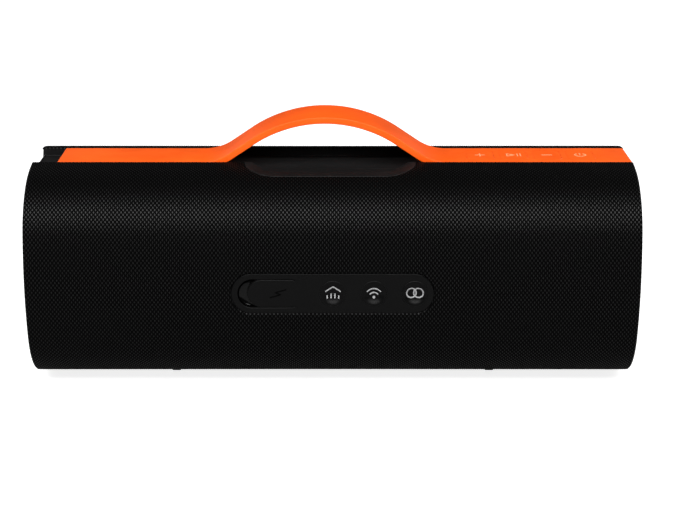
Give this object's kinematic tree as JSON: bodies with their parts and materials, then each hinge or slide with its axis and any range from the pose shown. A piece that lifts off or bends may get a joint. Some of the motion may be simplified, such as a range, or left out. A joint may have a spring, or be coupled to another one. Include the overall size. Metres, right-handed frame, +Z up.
{
  "type": "portable wireless speaker",
  "caption": "Fabric-wrapped barrel speaker with an arched orange carrying strap that presses flat, top keys, rear buttons and a hinged port cover.",
  "frame": {"origin": "on the table under the middle of the barrel", "axes": "+X along the barrel, towards the strap's fixed end; +Y out of the drivers, towards the listener; +Z up"},
  "size_m": [0.29, 0.108, 0.1287],
  "materials": {
    "button": "satin black silicone",
    "cell": "blue heat-shrink wrap",
    "tray": "moulded",
    "switch": "moulded",
    "steel": "zinc plated",
    "contact": "bright plated",
    "weave": "black woven polyester over foam",
    "housing": "fine texture",
    "channel": "satin black",
    "fin": "extruded",
    "foot": "black rubber",
    "circuit": "green solder mask",
    "cone": "coated paper",
    "basket": "black painted steel",
    "magnet": "ferrite",
    "surround": "butyl rubber",
    "cap": "satin black",
    "radiator": "satin black disc",
    "key": "matte orange silicone",
    "cover": "satin black silicone",
    "panel": "smooth soft-touch black",
    "strap": "matte orange silicone"
  },
  "bodies": {
    "speaker": {"battery_cells": "cell", "battery_holder": "tray", "button_switches": "switch", "channel_screws": "steel", "charging_socket": "contact", "driver_screws": "steel", "fabric_grille": "weave", "front_housing": "housing", "handle_channel": "channel", "heat_sink": "fin", "housing_screws": "steel", "housing_seal": "foot", "key_board": "circuit", "key_board_screws": "steel", "key_switches": "switch", "left_driver_frame": "basket", "left_driver_magnet": "magnet", "left_driver_surround": "surround", "left_end_cap": "cap", "left_foot": "foot", "left_radiator_surround": "surround", "main_board": "circuit", "main_board_screws": "steel", "port_cover_pin": "steel", "rear_board": "circuit", "rear_board_screws": "steel", "rear_housing": "housing", "rear_panel": "panel", "rear_panel_seal": "foot", "right_driver_frame": "basket", "right_driver_magnet": "magnet", "right_driver_surround": "surround", "right_end_cap": "cap", "right_foot": "foot", "right_radiator_surround": "surround", "strap_anchor_plates": "steel", "strap_anchor_screws": "steel", "strap_fixed_end": "strap"},
    "port_cover": {"port_cover": "cover"},
    "bass_button": {"bass_button": "button"},
    "wireless_button": {"wireless_button": "button"},
    "pairing_button": {"pairing_button": "button"},
    "volume_up_key": {"volume_up_key": "key"},
    "play_key": {"play_key": "key"},
    "volume_down_key": {"volume_down_key": "key"},
    "power_key": {"power_key": "key"},
    "strap_link_1": {"strap_link_1": "strap"},
    "strap_link_2": {"strap_link_2": "strap"},
    "strap_link_3": {"strap_link_3": "strap"},
    "strap_link_4": {"strap_link_4": "strap"},
    "strap_link_5": {"strap_link_5": "strap"},
    "strap_link_6": {"strap_link_6": "strap"},
    "strap_link_7": {"strap_link_7": "strap"},
    "strap_slide": {"strap_sliding_end": "strap", "strap_slider": "switch", "slider_screw": "steel"},
    "left_driver_cone": {"left_driver_cone": "cone"},
    "right_driver_cone": {"right_driver_cone": "cone"},
    "left_radiator_cone": {"left_radiator_cone": "radiator"},
    "right_radiator_cone": {"right_radiator_cone": "radiator"}
  },
  "joints": [
    {"name": "port_cover_hinge", "type": "hinge", "parent": "speaker", "child": "port_cover", "pos_m": [-0.0139, -0.0523, 0.0523], "axis": [0, 0, 1], "range_deg": [0, 90]},
    {"name": "bass_button_press", "type": "slide", "parent": "speaker", "child": "bass_button", "axis": [0, 1, 0], "range_m": [0, 0.0006], "stiffness_N_per_m": 2500, "springref_m": -0.0003},
    {"name": "wireless_button_press", "type": "slide", "parent": "speaker", "child": "wireless_button", "axis": [0, 1, 0], "range_m": [0, 0.0006], "stiffness_N_per_m": 2500, "springref_m": -0.0003},
    {"name": "pairing_button_press", "type": "slide", "parent": "speaker", "child": "pairing_button", "axis": [0, 1, 0], "range_m": [0, 0.0006], "stiffness_N_per_m": 2500, "springref_m": -0.0003},
    {"name": "volume_up_key_press", "type": "slide", "parent": "speaker", "child": "volume_up_key", "axis": [0, 0, -1], "range_m": [0, 0.0005], "stiffness_N_per_m": 2500, "springref_m": -0.0003},
    {"name": "play_key_press", "type": "slide", "parent": "speaker", "child": "play_key", "axis": [0, 0, -1], "range_m": [0, 0.0005], "stiffness_N_per_m": 2500, "springref_m": -0.0003},
    {"name": "volume_down_key_press", "type": "slide", "parent": "speaker", "child": "volume_down_key", "axis": [0, 0, -1], "range_m": [0, 0.0005], "stiffness_N_per_m": 2500, "springref_m": -0.0003},
    {"name": "power_key_press", "type": "slide", "parent": "speaker", "child": "power_key", "axis": [0, 0, -1], "range_m": [0, 0.0005], "stiffness_N_per_m": 2500, "springref_m": -0.0003},
    {"name": "strap_bend_1", "type": "hinge", "parent": "speaker", "child": "strap_link_1", "pos_m": [0.05228, 0, 0.1051], "axis": [0, -1, 0], "range_deg": [0, 17]},
    {"name": "strap_bend_2", "type": "hinge", "parent": "strap_link_1", "child": "strap_link_2", "pos_m": [0.04465, 0, 0.10743], "axis": [0, -1, 0], "range_deg": [0, 17]},
    {"name": "strap_bend_3", "type": "hinge", "parent": "strap_link_2", "child": "strap_link_3", "pos_m": [0.02375, 0, 0.12152], "axis": [0, 1, 0], "range_deg": [0, 17]},
    {"name": "strap_bend_4", "type": "hinge", "parent": "strap_link_3", "child": "strap_link_4", "pos_m": [0.00566, 0, 0.12706], "axis": [0, 1, 0], "range_deg": [0, 17]},
    {"name": "strap_bend_5", "type": "hinge", "parent": "strap_link_4", "child": "strap_link_5", "pos_m": [-0.01326, 0, 0.12706], "axis": [0, 1, 0], "range_deg": [0, 17]},
    {"name": "strap_bend_6", "type": "hinge", "parent": "strap_link_5", "child": "strap_link_6", "pos_m": [-0.03135, 0, 0.12152], "axis": [0, 1, 0], "range_deg": [0, 17]},
    {"name": "strap_bend_7", "type": "hinge", "parent": "strap_link_6", "child": "strap_link_7", "pos_m": [-0.05225, 0, 0.10743], "axis": [0, -1, 0], "range_deg": [0, 17]},
    {"name": "strap_bend_8", "type": "hinge", "parent": "strap_link_7", "child": "strap_slide", "pos_m": [-0.05988, 0, 0.1051], "axis": [0, -1, 0], "range_deg": [0, 17]},
    {"name": "left_driver_stroke", "type": "slide", "parent": "speaker", "child": "left_driver_cone", "axis": [0, 1, 0], "range_m": [-0.0015, 0.0015], "stiffness_N_per_m": 1500, "deforming": ["left_driver_surround"]},
    {"name": "right_driver_stroke", "type": "slide", "parent": "speaker", "child": "right_driver_cone", "axis": [0, 1, 0], "range_m": [-0.0015, 0.0015], "stiffness_N_per_m": 1500, "deforming": ["right_driver_surround"]},
    {"name": "left_radiator_stroke", "type": "slide", "parent": "speaker", "child": "left_radiator_cone", "axis": [-1, 0, 0], "range_m": [-0.0025, 0.0025], "stiffness_N_per_m": 900, "deforming": ["left_radiator_surround"]},
    {"name": "right_radiator_stroke", "type": "slide", "parent": "speaker", "child": "right_radiator_cone", "axis": [1, 0, 0], "range_m": [-0.0025, 0.0025], "stiffness_N_per_m": 900, "deforming": ["right_radiator_surround"]}
  ],
  "couplings": [
    {"joint": "strap_bend_2", "follows": "strap_bend_1", "ratio": 1},
    {"joint": "strap_bend_3", "follows": "strap_bend_1", "ratio": 1},
    {"joint": "strap_bend_4", "follows": "strap_bend_1", "ratio": 1},
    {"joint": "strap_bend_5", "follows": "strap_bend_1", "ratio": 1},
    {"joint": "strap_bend_6", "follows": "strap_bend_1", "ratio": 1},
    {"joint": "strap_bend_7", "follows": "strap_bend_1", "ratio": 1},
    {"joint": "strap_bend_8", "follows": "strap_bend_1", "ratio": 1}
  ]
}
